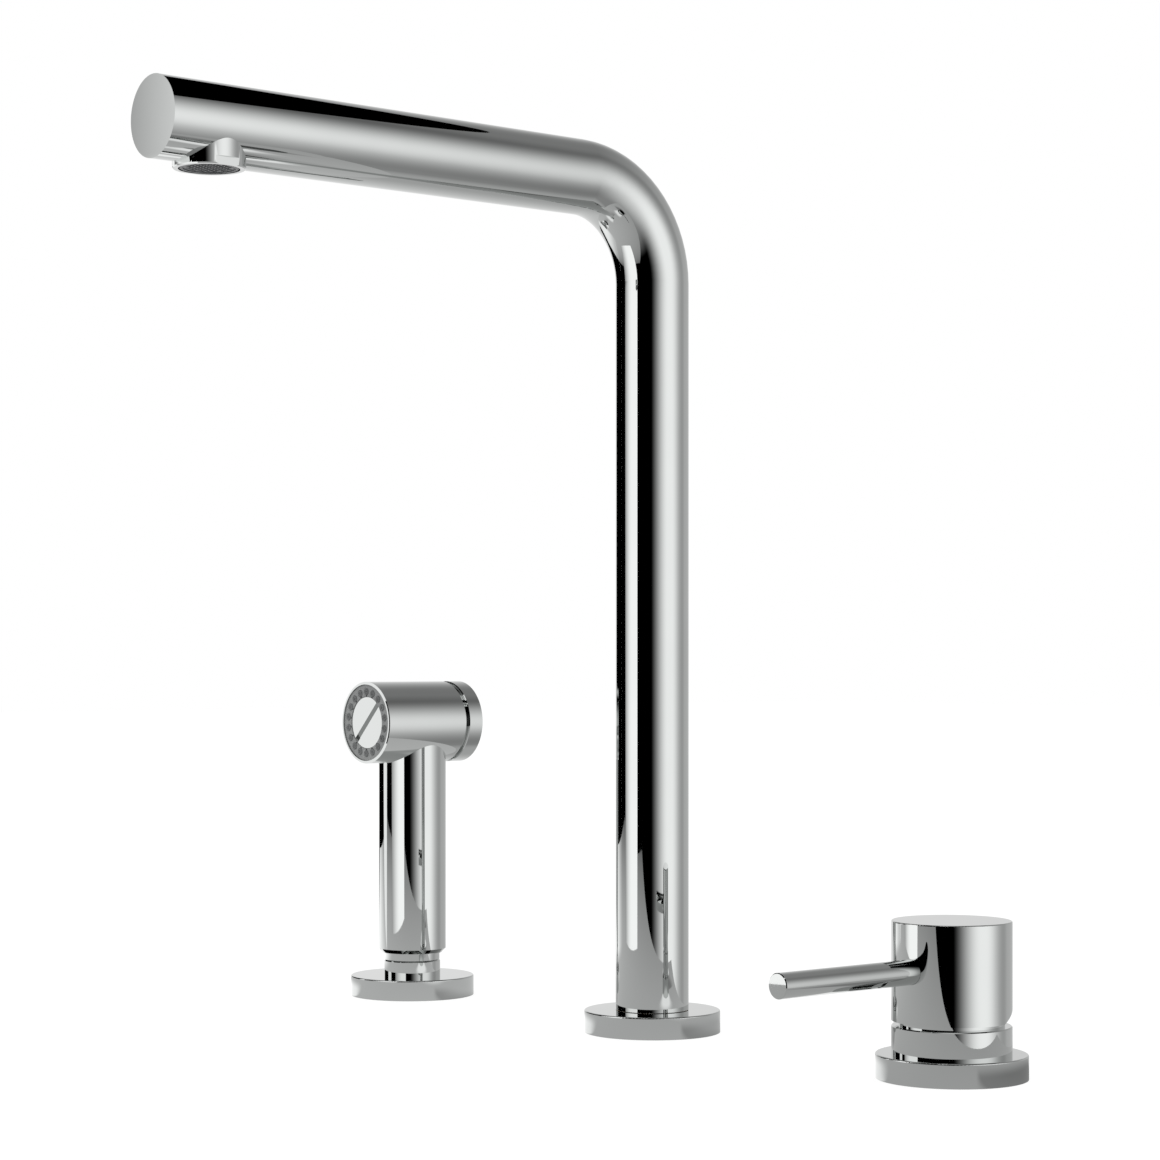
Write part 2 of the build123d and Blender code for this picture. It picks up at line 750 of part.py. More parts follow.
neck_low = holder_collar_top + resting_gap
handle_bore = handle_radius - handle_wall
journal_top = foot_spigot_bottom + swivel_journal_length
foot_top_height = handle_bottom + foot_thread_length
riser_low = foot_top_height - riser_seat
foot = turned(
    (0, foot_spigot_bottom),
    (foot_spigot_radius, foot_spigot_bottom),
    (foot_spigot_radius, neck_low),
    (neck_radius, neck_low),
    (neck_radius, handle_bottom),
    (handle_bore - running_gap, handle_bottom),
    (handle_bore - running_gap, foot_top_height),
    (0, foot_top_height),
)
foot -= rod(swivel_journal_radius + running_gap, foot_spigot_bottom - 1, journal_top + journal_end_play)
foot -= rod(riser_radius - riser_wall, 0, foot_top_height)
foot -= rod(riser_radius + running_gap, riser_low, foot_top_height + 1)
parts["spray_foot"] = spray_at * foot

swivel_top = foot_spigot_bottom - resting_gap
swivel_bottom = swivel_top - swivel_length
swivel_groove = journal_top - swivel_seal_drop
swivel_groove_radius = swivel_journal_radius - 2 * seal_cord_radius
swivel = rod(swivel_radius, swivel_bottom, swivel_top) + rod(swivel_journal_radius, swivel_top, journal_top)
swivel -= rod(swivel_bore, swivel_bottom, journal_top + 1)
swivel -= rod(hose_thread_radius, swivel_bottom - 1, swivel_bottom + hose_thread_length)
swivel -= ring(
    swivel_journal_radius + 1, swivel_groove_radius, swivel_groove - groove_half, swivel_groove + groove_half
)
parts["hose_swivel"] = spray_at * swivel
swivel_seal = seal(swivel_groove_radius + seal_cord_radius, seal_cord_radius - running_gap / 2, swivel_groove)
parts["swivel_seal"] = spray_at * swivel_seal

# Spray handle and head: the handle's tube is coped to the head and sleeved on its socket

head_line = Pos(0, 0, head_height)
head_envelope = head_line * along_y(rod(head_radius, -head_front, head_back))
handle = rod(handle_radius, handle_bottom, head_height)
foot_edge = handle.faces().sort_by(Axis.Z)[0].edges()
handle = chamfer(foot_edge, handle_chamfer)
handle -= rod(handle_bore, handle_bottom - 1, head_height)
parts["spray_handle"] = spray_at * (handle - head_envelope)

socket_low = head_height - head_radius - head_socket_depth
roof_front = button_back - button_wall
button_neck_back = roof_front - button_travel - resting_gap
head = turned(
    (0, -head_front),
    (head_radius - head_rim_chamfer, -head_front),
    (head_radius, -head_front + head_rim_chamfer),
    (head_radius, head_back),
    (button_neck_radius, head_back),
    (button_neck_radius, button_neck_back),
    (0, button_neck_back),
)
head = head_line * along_y(head) + rod(head_socket_radius, socket_low, head_height)
head -= head_line * along_y(rod(face_bore_radius, -head_front - 1, -head_front + face_bore_depth))
head -= head_line * along_y(rod(diffuser_radius + running_gap, -head_front, -spray_chamber_back))
head -= head_line * along_y(rod(valve_bore_radius, -spray_chamber_back - 1, valve_body_back))
head -= head_line * along_y(rod(stem_radius + running_gap, 0, button_neck_back + 1))
head -= head_line * along_y(rod(spring_pocket_radius, spring_pocket_front, button_neck_back + 1))
head -= rod(riser_radius + running_gap, socket_low - 1, head_height - valve_bore_radius)
head -= rod(valve_port_radius, head_height - valve_bore_radius - 1, head_height)
parts["spray_head"] = spray_at * head

riser_high = head_height - valve_bore_radius - riser_stop
parts["riser_tube"] = spray_at * ring(riser_radius, riser_radius - riser_wall, riser_low, riser_high)

# Spray face: a soft plate with a ring of nozzles, held by a wide slotted screw

plate_front = -head_front + nozzle_plate_inset
plate_back = plate_front + nozzle_plate_thickness
screw_front = -head_front + face_screw_inset
screw_back = screw_front + face_screw_head
plate = ring(nozzle_ring_radius, nozzle_plate_opening, plate_front, plate_back)
plate += ring(nozzle_ring_radius, face_screw_stud + running_gap, screw_back, plate_back)
nozzle_bores = []
for index in range(nozzle_count):
    spot = Rot(0, 0, (index + 1 / 2) * 360 / nozzle_count) * Pos(nozzle_circle, 0, 0)
    plate += spot * rod(nozzle_boss_radius, -head_front, screw_front - running_gap)
    nozzle_bores.append(spot * rod(nozzle_bore, -head_front - 1, plate_back + 1))
plate -= nozzle_bores
parts["nozzle_plate"] = spray_at * head_line * along_y(plate)

slot_turn = Rot(0, 0, screw_slot_turn)
face_screw = rod(face_screw_radius, screw_front, screw_back)
face_screw += rod(face_screw_stud, screw_back, screw_back + face_screw_stud_length)
screw_slot = Box(2 * face_screw_radius + 2, screw_slot_width, 2 * screw_slot_depth)
face_screw -= Pos(0, 0, screw_front) * slot_turn * screw_slot
parts["face_screw"] = spray_at * head_line * along_y(face_screw)

diffuser_front = plate_back + diffuser_gap
diffuser_back = diffuser_front + diffuser_thickness
diffuser = rod(diffuser_radius, diffuser_front, diffuser_back)
diffuser -= rod(face_screw_stud + running_gap, diffuser_front - 1, diffuser_back + 1)
for index in range(diffuser_hole_count):
    spot = Rot(0, 0, index * 360 / diffuser_hole_count) * Pos(nozzle_circle - 1, 0, 0)
    diffuser -= spot * rod(diffuser_hole, diffuser_front - 1, diffuser_back + 1)
parts["diffuser_plate"] = spray_at * head_line * along_y(diffuser)

# Spray valve: the button's stem lifts a seal off the front of the valve body

valve = rod(valve_bore_radius - running_gap, -spray_chamber_back, valve_body_back)
valve -= rod(valve_seat_radius, -spray_chamber_back - 1, valve_body_back - valve_end_wall)
valve -= rod(stem_radius + running_gap, 0, valve_body_back + 1)
valve_port = rod(valve_port_radius, -valve_bore_radius - 1, 0)
parts["valve_body"] = spray_at * head_line * (along_y(valve) - valve_port)

seal_back = -spray_chamber_back - running_gap
seal_front = seal_back - valve_seal_thickness
stem_front = seal_front - stem_head_thickness
waist_radius = stem_radius - stem_waist
button = turned(
    (0, roof_front),
    (button_neck_radius + button_bore_play, roof_front),
    (button_neck_radius + button_bore_play, button_front),
    (head_radius - head_rim_chamfer, button_front),
    (head_radius, button_front + head_rim_chamfer),
    (head_radius, button_back - head_rim_chamfer),
    (head_radius - head_rim_chamfer, button_back),
    (0, button_back),
)
button -= rod(waist_radius + running_gap, roof_front - 1, button_back - button_skin)
parts["push_button"] = spray_at * head_line * along_y(button)
stem = turned(
    (0, stem_front),
    (stem_radius + stem_waist, stem_front),
    (stem_radius + stem_waist, seal_front),
    (waist_radius, seal_front),
    (waist_radius, seal_back + stem_waist),
    (stem_radius, seal_back + stem_waist),
    (stem_radius, roof_front),
    (waist_radius, roof_front),
    (waist_radius, button_back - button_skin - running_gap),
    (0, button_back - button_skin - running_gap),
)
parts["valve_stem"] = spray_at * head_line * along_y(stem)
valve_seal = ring(valve_seal_radius, waist_radius, seal_front, seal_back)
parts["valve_seal"] = spray_at * head_line * along_y(valve_seal)
button_spring = spring(
    button_spring_radius,
    button_spring_wire,
    spring_pocket_front + running_gap,
    roof_front - running_gap,
    button_spring_turns,
)
parts["button_spring"] = spray_at * head_line * along_y(button_spring)

os.makedirs("parts", exist_ok=True)
for name, part in parts.items():
    export_step(part, "parts/" + name + ".step")
print(len(parts), "nodes")
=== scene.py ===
import bmesh
import bpy
from math import cos, pi, radians, sin
from mathutils import Euler, Matrix, Vector
from mathutils.kdtree import KDTree


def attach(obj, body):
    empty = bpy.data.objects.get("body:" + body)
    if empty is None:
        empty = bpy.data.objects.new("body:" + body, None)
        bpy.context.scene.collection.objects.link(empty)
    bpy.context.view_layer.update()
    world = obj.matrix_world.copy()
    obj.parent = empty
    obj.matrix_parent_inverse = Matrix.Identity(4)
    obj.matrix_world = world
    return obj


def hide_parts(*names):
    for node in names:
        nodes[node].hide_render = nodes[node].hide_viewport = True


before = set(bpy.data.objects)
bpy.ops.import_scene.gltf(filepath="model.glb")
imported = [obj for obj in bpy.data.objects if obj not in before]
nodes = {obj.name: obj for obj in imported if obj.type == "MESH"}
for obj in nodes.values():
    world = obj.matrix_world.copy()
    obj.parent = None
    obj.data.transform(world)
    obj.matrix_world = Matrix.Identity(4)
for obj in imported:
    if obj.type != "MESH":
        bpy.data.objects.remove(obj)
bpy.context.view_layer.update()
print("stage: frame loaded")


def linear(hexColour):
    # sRGB hex to the linear colour that shader sockets take
    channels = [int(hexColour[i:i + 2], 16) / 255 for i in (1, 3, 5)]
    return [c / 12.92 if c <= 0.04045 else ((c + 0.055) / 1.055) ** 2.4 for c in channels] + [1.0]


def addNode(tree, kind, inputs=None, **settings):
    # one node with its settings; an input is a value or another node's output
    node = tree.nodes.new(kind)
    for name, value in settings.items():
        setattr(node, name, value)
    for key, value in (inputs or {}).items():
        if isinstance(value, bpy.types.NodeSocket):
            tree.links.new(value, node.inputs[key])
        else:
            node.inputs[key].default_value = value
    return node


def math(tree, operation, *values, clamp=False):
    inputs = dict(enumerate(values))
    return addNode(tree, "ShaderNodeMath", inputs, operation=operation, use_clamp=clamp).outputs[0]


def product(tree, *values):
    total = values[0]
    for value in values[1:]:
        total = math(tree, "MULTIPLY", total, value)
    return total


def fade(tree, value, start, end, low, high):
    # soft step from low at start to high at end
    inputs = {"Value": value, "From Min": start, "From Max": end, "To Min": low, "To Max": high}
    return addNode(tree, "ShaderNodeMapRange", inputs, interpolation_type="SMOOTHSTEP").outputs[0]


# Camera: the photograph's viewpoint, low and to the right of the row

cameraView = {
    "place": (0.8595, -0.7578, 0.1537),
    "tilt": 90,
    "turn": 50.08,
    "lens": 86.6,
    "sensor": 36.0,
    "shift": 0.0661,
}
cameraData = bpy.data.cameras.new("camera")
cameraData.lens = cameraView["lens"]
cameraData.sensor_width = cameraView["sensor"]
cameraData.shift_y = cameraView["shift"]
camera = bpy.data.objects.new("camera", cameraData)
camera.location = cameraView["place"]
camera.rotation_euler = (radians(cameraView["tilt"]), 0, radians(cameraView["turn"]))
bpy.context.scene.collection.objects.link(camera)
bpy.context.scene.camera = camera
bpy.context.scene.view_settings.view_transform = "Standard"
print("stage: camera")

# Surroundings: white to the eye, plain light for matt surfaces, and for polished metal a dark room with
# one large glow to the right, a fainter one above it, a paler wall behind and soft lights overhead and below

surroundings = {
    "glowAzimuth": 15.5,
    "glowCore": 6.5,
    "glowReach": 60.5,
    "glowLevel": 1.42,
    "wallStart": 40,
    "wallFull": 85,
    "wallLevel": 0.62,
    "wallRiseStart": 110,
    "wallRiseEnd": 150,
    "wallRise": 0.3,
    "wallEnd": 164,
    "wallEndSoft": 1,
    "wallTop": 62,
    "wallTopShare": 0.42,
    "wallFoot": 55,
    "wallFootShare": 0.9,
    "overheadStart": 66,
    "overheadFull": 85,
    "overheadLevel": 0.8,
    "footStart": 20,
    "footFull": 50,
    "footLevel": 0.36,
    "shoulderAzimuth": 49,
    "shoulderRise": 41,
    "shoulderReach": 27,
    "shoulderLevel": 0.10,
    "plainLevel": 0.8,
    "colour": "#FFFFFF",
}


def roundGlow(tree, direction, azimuth, rise, core, reach, level):
    # level at one direction of the room, falling to nothing at reach degrees from it
    centre = (cos(radians(azimuth)) * cos(radians(rise)), sin(radians(azimuth)) * cos(radians(rise)),
              sin(radians(rise)))
    toCentre = addNode(tree, "ShaderNodeVectorMath", {0: direction, 1: centre}, operation="DOT_PRODUCT")
    apart = math(tree, "ARCCOSINE", toCentre.outputs["Value"])
    return fade(tree, apart, radians(core), radians(reach), level, 0)


def makeSurroundings(s):
    world = bpy.data.worlds.new("studioRoom")
    world.use_nodes = True
    tree = world.node_tree
    tree.nodes.clear()
    direction = addNode(tree, "ShaderNodeTexCoord").outputs["Generated"]
    split = addNode(tree, "ShaderNodeSeparateXYZ", {0: direction})
    azimuth = math(tree, "ARCTAN2", split.outputs[1], split.outputs[0])
    rise = math(tree, "ARCSINE", split.outputs[2])
    glow = roundGlow(tree, direction, s["glowAzimuth"], 0, s["glowCore"], s["glowReach"], s["glowLevel"])
    shoulder = roundGlow(tree, direction, s["shoulderAzimuth"], s["shoulderRise"], 0, s["shoulderReach"],
                         s["shoulderLevel"])
    glow = math(tree, "ADD", glow, shoulder)
    wall = fade(tree, azimuth, radians(s["wallStart"]), radians(s["wallFull"]), 0, s["wallLevel"])
    brighter = fade(tree, azimuth, radians(s["wallRiseStart"]), radians(s["wallRiseEnd"]), 0, s["wallRise"])
    soft = s["wallEndSoft"]
    wallEdge = fade(tree, azimuth, radians(s["wallEnd"] - soft), radians(s["wallEnd"] + soft), 1, 0)
    wallTop = fade(tree, rise, 0, radians(s["wallTop"]), 1, s["wallTopShare"])
    wallFoot = fade(tree, rise, 0, -radians(s["wallFoot"]), 1, s["wallFootShare"])
    wall = product(tree, math(tree, "ADD", wall, brighter), wallEdge, wallTop, wallFoot)
    overhead = fade(tree, rise, radians(s["overheadStart"]), radians(s["overheadFull"]),
                    0, s["overheadLevel"])
    foot = fade(tree, rise, -radians(s["footFull"]), -radians(s["footStart"]), s["footLevel"], 0)
    seen = math(tree, "ADD", math(tree, "ADD", glow, overhead), math(tree, "MAXIMUM", wall, foot))
    room, plain, white = (
        addNode(tree, "ShaderNodeBackground", {"Color": linear(s["colour"]), "Strength": strength})
        for strength in (seen, s["plainLevel"], 1)
    )
    path = addNode(tree, "ShaderNodeLightPath")
    lit = addNode(tree, "ShaderNodeMixShader",
                  {0: path.outputs["Is Glossy Ray"], 1: plain.outputs[0], 2: room.outputs[0]})
    shown = addNode(tree, "ShaderNodeMixShader",
                    {0: path.outputs["Is Camera Ray"], 1: lit.outputs[0], 2: white.outputs[0]})
    addNode(tree, "ShaderNodeOutputWorld", {"Surface": shown.outputs[0]})
    world.cycles.sampling_method = "NONE"
    bpy.context.scene.world = world


makeSurroundings(surroundings)


def makeSheet(name, corners, material):
    # one four-cornered sheet of the stage
    mesh = bpy.data.meshes.new(name)
    mesh.from_pydata(corners, [], [(0, 1, 2, 3)])
    mesh.materials.append(material)
    sheet = bpy.data.objects.new(name, mesh)
    bpy.context.scene.collection.objects.link(sheet)
    return sheet


def onlyInReflections(sheet):
    # polished metal shows the sheet; nothing else sees it and it casts no light on matt surfaces
    sheet.visible_camera = False
    sheet.visible_diffuse = False
    sheet.visible_transmission = False
    sheet.visible_shadow = False


def newMaterial(name):
    material = bpy.data.materials.new(name)
    material.use_nodes = True
    material.node_tree.nodes.clear()
    return material, material.node_tree


def giveLight(tree, level):
    # a surface that only gives light
    glow = addNode(tree, "ShaderNodeEmission", {"Strength": level})
    addNode(tree, "ShaderNodeOutputMaterial", {"Surface": glow.outputs[0]})


def evenLight(name, level):
    material, tree = newMaterial(name)
    giveLight(tree, level)
    return material


def objectPlace(tree):
    # the place on the sheet, and its three parts
    place = addNode(tree, "ShaderNodeTexCoord").outputs["Object"]
    return place, addNode(tree, "ShaderNodeSeparateXYZ", {0: place}).outputs


def wayTo(azimuth):
    # level direction of an azimuth, and the one square to it
    along = Vector((cos(radians(azimuth)), sin(radians(azimuth)), 0))
    return along, Vector((-along.y, along.x, 0))


# Floor: white card that keeps a faint contact shadow and is clear from below, where the shanks hang

floor = {"half": 6.0, "height": -0.0002, "matt": 0.25, "glow": 0.84, "bounce": 0.55}


def makeFloor(s):
    material, tree = newMaterial("whiteCard")
    path = addNode(tree, "ShaderNodeLightPath")
    side = addNode(tree, "ShaderNodeNewGeometry")
    matt = addNode(tree, "ShaderNodeBsdfDiffuse", {"Color": [s["matt"]] * 3 + [1]})
    shown = math(tree, "MULTIPLY", path.outputs["Is Camera Ray"], s["glow"])
    level = math(tree, "MULTIPLY_ADD", path.outputs["Is Diffuse Ray"], s["bounce"], shown)
    glow = addNode(tree, "ShaderNodeEmission", {"Strength": level})
    top = addNode(tree, "ShaderNodeAddShader", {0: matt.outputs[0], 1: glow.outputs[0]})
    clear = addNode(tree, "ShaderNodeBsdfTransparent")
    both = addNode(tree, "ShaderNodeMixShader",
                   {0: side.outputs["Backfacing"], 1: top.outputs[0], 2: clear.outputs[0]})
    addNode(tree, "ShaderNodeOutputMaterial", {"Surface": both.outputs[0]})
    half, height = s["half"], s["height"]
    corners = [(-half, -half, height), (half, -half, height), (half, half, height), (-half, half, height)]
    sheet = makeSheet("floorCard", corners, material)
    sheet.visible_glossy = False


makeFloor(floor)

# Grey ground that polished metal shows, its grey a glow of painted light: one sheet with a right and a back
# edge, falling off from its palest place, and paler again far to the left, within a turn of the line through
# the units

ground = {
    "left": -1.15,
    "rightFront": 0.31,
    "rightBack": 0.28,
    "front": -1.06,
    "back": 0.10,
    "height": -0.0001,
    "palest": (-0.35, 0.1),
    "level": 0.79,
    "fall": 0.45,
    "turnCentre": 0.06,
    "turnSpan": 32,
    "turnRise": 0.65,
    "turnStart": -0.26,
    "turnFull": -0.34,
    "reach": (0.05, 0.085),
    "palerBy": 0.62,
    "palerWidth": 0.8,
    "palerRoot": (0.008, 0.027),
    "leastRun": 0.0001,
    "edgeWidth": 0.007,
    "shadowFade": (0.0, 0.05),
}
# Painted light and painted shadow beside each unit: within reach, the ground is painted paler to the left,
# where the light falls, between two lines that part at the slope given here, and painted darker behind a line
# that starts at the flange's right, where the unit's shadow falls. Each flange's side shows both
paintedLightAndShadowByUnit = {
    "mixer": {
        "centre": 0.1653, "palerSlope": 0.55,
        "shadowFrom": (0.024, -0.014), "shadowSlope": -0.22, "shadowDepths": (0.42, 0.5),
    },
    "spout": {
        "centre": 0.0, "palerSlope": 0.80,
        "shadowFrom": (0.0265, -0.0088), "shadowSlope": 0.08, "shadowDepths": (0.40, 0.15),
    },
    "spray": {
        "centre": -0.1653, "palerSlope": 0.95,
        "shadowFrom": (0.0267, -0.0083), "shadowSlope": 0.035, "shadowDepths": (0.38, 0.0),
    },
}


def farFrom(tree, place, centre):
    return addNode(tree, "ShaderNodeVectorMath", {0: place, 1: centre}, operation="DISTANCE").outputs["Value"]


def paintedLightAndShadowBeside(tree, place, x, y, unit, s):
    # how much painted light the ground gets to the left of one unit, and the share that it keeps to the right
    # under the unit's painted shadow
    right = math(tree, "SUBTRACT", x, unit["centre"])
    near = fade(tree, farFrom(tree, place, (unit["centre"], 0, 0)), *s["reach"], 1, 0)
    rootLeft, rootFront = s["palerRoot"]
    run = math(tree, "MAXIMUM", math(tree, "SUBTRACT", -rootLeft, right), s["leastRun"])
    slope = math(tree, "DIVIDE", math(tree, "SUBTRACT", math(tree, "ABSOLUTE", y), rootFront), run)
    start = unit["palerSlope"]
    paler = fade(tree, slope, start, start - s["palerWidth"], 0, s["palerBy"])
    toLeft = fade(tree, right, -rootLeft, -rootLeft - s["edgeWidth"], 0, 1)
    # behind a line from the flange's right, the unit's shadow is painted, deeper further behind
    fromRight, fromBack = unit["shadowFrom"]
    foot = fromBack - fromRight * unit["shadowSlope"]
    behind = math(tree, "SUBTRACT", y, math(tree, "MULTIPLY_ADD", right, unit["shadowSlope"], foot))
    past = fade(tree, behind, 0, s["edgeWidth"], 0, 1)
    toRight = fade(tree, right, 0, s["edgeWidth"], 0, 1)
    dim = product(tree, past, near, toRight, fade(tree, behind, *s["shadowFade"], *unit["shadowDepths"]))
    return product(tree, paler, near, toLeft), math(tree, "SUBTRACT", 1, dim)


def makeGround(s, units):
    material, tree = newMaterial("groundPaintedLight")
    place, axes = objectPlace(tree)
    x, y = axes["X"], axes["Y"]
    # the ground's level is painted light: palest at one place and falling off with distance from it
    away = farFrom(tree, place, (*s["palest"], 0))
    level = math(tree, "SUBTRACT", s["level"], math(tree, "MULTIPLY", away, s["fall"]))
    turn = math(tree, "ARCTAN2", math(tree, "ABSOLUTE", y), math(tree, "SUBTRACT", s["turnCentre"], x))
    paler = fade(tree, turn, radians(s["turnSpan"]), 0, 0, s["turnRise"])
    farLeft = fade(tree, x, s["turnStart"], s["turnFull"], 0, 1)
    level = math(tree, "MULTIPLY_ADD", paler, farLeft, level)
    # each unit adds its painted pool of light to the left and its painted shadow behind
    for unit in units.values():
        paler, kept = paintedLightAndShadowBeside(tree, place, x, y, unit, s)
        level = math(tree, "MULTIPLY", math(tree, "ADD", level, paler), kept)
    giveLight(tree, level)
    outline = (("left", "front"), ("rightFront", "front"), ("rightBack", "back"), ("left", "back"))
    corners = [(s[across], s[along], s["height"]) for across, along in outline]
    onlyInReflections(makeSheet("groundSheet", corners, material))


makeGround(ground, paintedLightAndShadowByUnit)

# Lit sheets that polished metal shows. The soft box stands on the ground to the front and left, brightest
# towards its right end and dimmer above; the strip stands to the left, edge on to the spout; the flag blacks
# out a part of the room overhead; the upper panel hangs high in front

softBox = {
    "rightFoot": (0.011, -0.352),
    "leftFoot": (-0.262, -0.287),
    "leftTop": (-0.29, -0.28),
    "top": 0.6,
    "fadeLeft": -0.36,
    "fadeRight": -0.10,
    "level": 1.55,
    "topStart": 0.352,
    "topFull": 0.361,
    "topLeft": -0.175,
    "topRight": -0.095,
    "topShares": (0.29, 0.75),
}
sideStrip = {"foot": (-0.002, -0.015), "azimuth": -155, "near": 0.33, "far": 3.0, "top": 0.5, "level": 1.34}
ceilingFlag = {"azimuth": 87, "near": 2.4, "far": 3.43, "half": 8.0, "height": 5.0}
upperPanel = {"azimuth": -56, "reach": 1.0, "half": 0.13, "low": 0.93, "high": 1.35, "level": 1.4}


def makeSoftBox(s):
    material, tree = newMaterial("softBoxCloth")
    axes = objectPlace(tree)[1]
    level = fade(tree, axes["X"], s["fadeLeft"], s["fadeRight"], 0, s["level"])
    share = fade(tree, axes["X"], s["topLeft"], s["topRight"], *s["topShares"])
    above = fade(tree, axes["Z"], s["topStart"], s["topFull"], 0, 1)
    dimmed = math(tree, "MULTIPLY", above, math(tree, "SUBTRACT", 1, share))
    giveLight(tree, math(tree, "MULTIPLY", level, math(tree, "SUBTRACT", 1, dimmed)))
    corners = [(*s["leftFoot"], 0), (*s["rightFoot"], 0), (*s["rightFoot"], s["top"]),
               (*s["leftTop"], s["top"])]
    onlyInReflections(makeSheet("softBox", corners, material))


def makeSideStrip(s):
    along = wayTo(s["azimuth"])[0]
    foot = Vector((*s["foot"], 0))
    near, far = foot + along * s["near"], foot + along * s["far"]
    lift = Vector((0, 0, s["top"]))
    corners = [near, far, far + lift, near + lift]
    onlyInReflections(makeSheet("sideStrip", corners, evenLight("stripCloth", s["level"])))


def makeCeilingFlag(s):
    along, across = wayTo(s["azimuth"])
    lift = Vector((0, 0, s["height"]))
    spots = ((s["near"], -1), (s["far"], -1), (s["far"], 1), (s["near"], 1))
    corners = [along * reach + across * side * s["half"] + lift for reach, side in spots]
    onlyInReflections(makeSheet("ceilingFlag", corners, evenLight("blackFlag", 0)))


def makeUpperPanel(s):
    along, across = wayTo(s["azimuth"])
    spots = ((-1, s["low"]), (1, s["low"]), (1, s["high"]), (-1, s["high"]))
    corners = [along * s["reach"] + across * side * s["half"] + Vector((0, 0, z)) for side, z in spots]
    onlyInReflections(makeSheet("upperPanel", corners, evenLight("panelCloth", s["level"])))


makeSoftBox(softBox)
makeSideStrip(sideStrip)
makeCeilingFlag(ceilingFlag)
makeUpperPanel(upperPanel)

# Lamp: one large soft light for the matt surfaces and the faint shadows

lamp = {"place": (0.7, -0.9, 1.5), "aim": (0, 0, 0.1), "size": 1.2, "power": 8.0}
lampData = bpy.data.lights.new("softLamp", "AREA")
lampData.size = lamp["size"]
lampData.energy = lamp["power"]
softLamp = bpy.data.objects.new("softLamp", lampData)
softLamp.location = lamp["place"]
lampWay = Vector(lamp["aim"]) - Vector(lamp["place"])
softLamp.rotation_euler = lampWay.to_track_quat("-Z", "Y").to_euler()
softLamp.visible_glossy = False
bpy.context.scene.collection.objects.link(softLamp)
print("stage: studio")

# Materials. Lengths are in metres on Object coordinates. Clouds are so many grains across, the two steps are
# the parts of each noise's range that are used, and ringScale turns a spacing into a wave texture's scale

pattern = {
    "cloudGrains": 40,
    "cloudDetail": 4.0,
    "cloudStep": (0.35, 0.65),
    "fineDetail": 3.0,
    "fineStep": (0.3, 0.7),
    "ringScale": 0.314,
    "ringWaver": 0.6,
}


def relief(tree, height, depth, **under):
    inputs = {"Height": height, "Distance": depth, "Strength": 1.0, **under}
    return addNode(tree, "ShaderNodeBump", inputs).outputs[0]


def surface(name, pale, dark, metallic, sheen, grain, depth, lay=None, layDepth=0.0):
    # pale and dark are the two tones that a cloud pattern mixes; sheen is the lowest and highest roughness;
    # grain and depth size the fine relief, and lay adds tool rings of that spacing along Z
    material, tree = newMaterial(name)
    place = addNode(tree, "ShaderNodeTexCoord").outputs["Object"]
    clouds = addNode(tree, "ShaderNodeTexNoise",
                     {"Vector": place, "Scale": 1 / (grain * pattern["cloudGrains"]),
                      "Detail": pattern["cloudDetail"]})
    fine = addNode(tree, "ShaderNodeTexNoise",
                   {"Vector": place, "Scale": 1 / grain, "Detail": pattern["fineDetail"]})
    tone = fade(tree, clouds.outputs["Fac"], *pattern["cloudStep"], 0, 1)
    colour = addNode(tree, "ShaderNodeMix", {"Factor": tone, "A": linear(pale), "B": linear(dark)},
                     data_type="RGBA")
    roughness = fade(tree, fine.outputs["Fac"], *pattern["fineStep"], *sheen)
    normal = relief(tree, fine.outputs["Fac"], depth)
    if lay:
        rings = addNode(tree, "ShaderNodeTexWave",
                        {"Vector": place, "Scale": pattern["ringScale"] / lay,
                         "Distortion": pattern["ringWaver"]},
                        bands_direction="Z")
        normal = relief(tree, rings.outputs["Fac"], layDepth, Normal=normal)
    base = addNode(tree, "ShaderNodeBsdfPrincipled",
                   {"Base Color": colour.outputs["Result"], "Metallic": metallic, "Roughness": roughness,
                    "Normal": normal})
    addNode(tree, "ShaderNodeOutputMaterial", {"Surface": base.outputs[0]})
    return material


# Chromium plated over polished brass: mirror bright, with the slightest unevenness of buffing
chromePlatePolished = surface("chromePlatePolished", "#C6C8C7", "#C4C6C5", 1.0, (0.01, 0.025), 0.0011, 2e-8)
# Brass turned on a lathe, left bare under the worktop: warm, with fine rings from the tool
brassTurned = surface("brassTurned", "#D9B06A", "#C2924C", 1.0, (0.22, 0.34), 0.0009, 6e-6, 0.0004, 1.2e-5)
# Stainless steel stamped from sheet: grey, with a fine grain and a soft shine
steelStamped = surface("steelStamped", "#B9BABB", "#A2A3A5", 1.0, (0.25, 0.42), 0.0006, 6e-6)
# Spring wire drawn and coiled: darker, smooth and oily
steelDrawn = surface("steelDrawn", "#9A9B9E", "#85868A", 1.0, (0.18, 0.3), 0.0005, 2e-6)
# Nitrile rubber moulded: near black, matt, with a fine skin
rubberMoulded = surface("rubberMoulded", "#242425", "#1B1B1C", 0.0, (0.5, 0.68), 0.0007, 1.5e-5)
# Alumina discs lapped flat: off white and smooth
ceramicLapped = surface("ceramicLapped", "#EDEAE2", "#E4E0D6", 0.0, (0.08, 0.16), 0.0005, 1e-6)
# Acetal moulded: milky white with a soft shine and a faint flow
acetalMoulded = surface("acetalMoulded", "#E9E9E6", "#DEDEDA", 0.0, (0.3, 0.42), 0.0008, 6e-6)
# Silicone-rubber plate of the spray's face: mid grey, soft and nearly matt
siliconeMoulded = surface("siliconeMoulded", "#959796", "#898B8B", 0.0, (0.42, 0.56), 0.0006, 1e-5)
# The same rubber on the nozzles, a little shinier, and painted darker with the shade that falls round them,
# so that the eye tells them from the plate
siliconeNozzlesPaintedShade = surface("siliconeNozzlesPaintedShade", "#6E7070", "#626464", 0.0, (0.34, 0.46), 0.0006, 1e-5)
# Dark acetal insert of the outlet: charcoal, satin
acetalDark = surface("acetalDark", "#56585A", "#4B4D4F", 0.0, (0.34, 0.46), 0.0006, 6e-6)

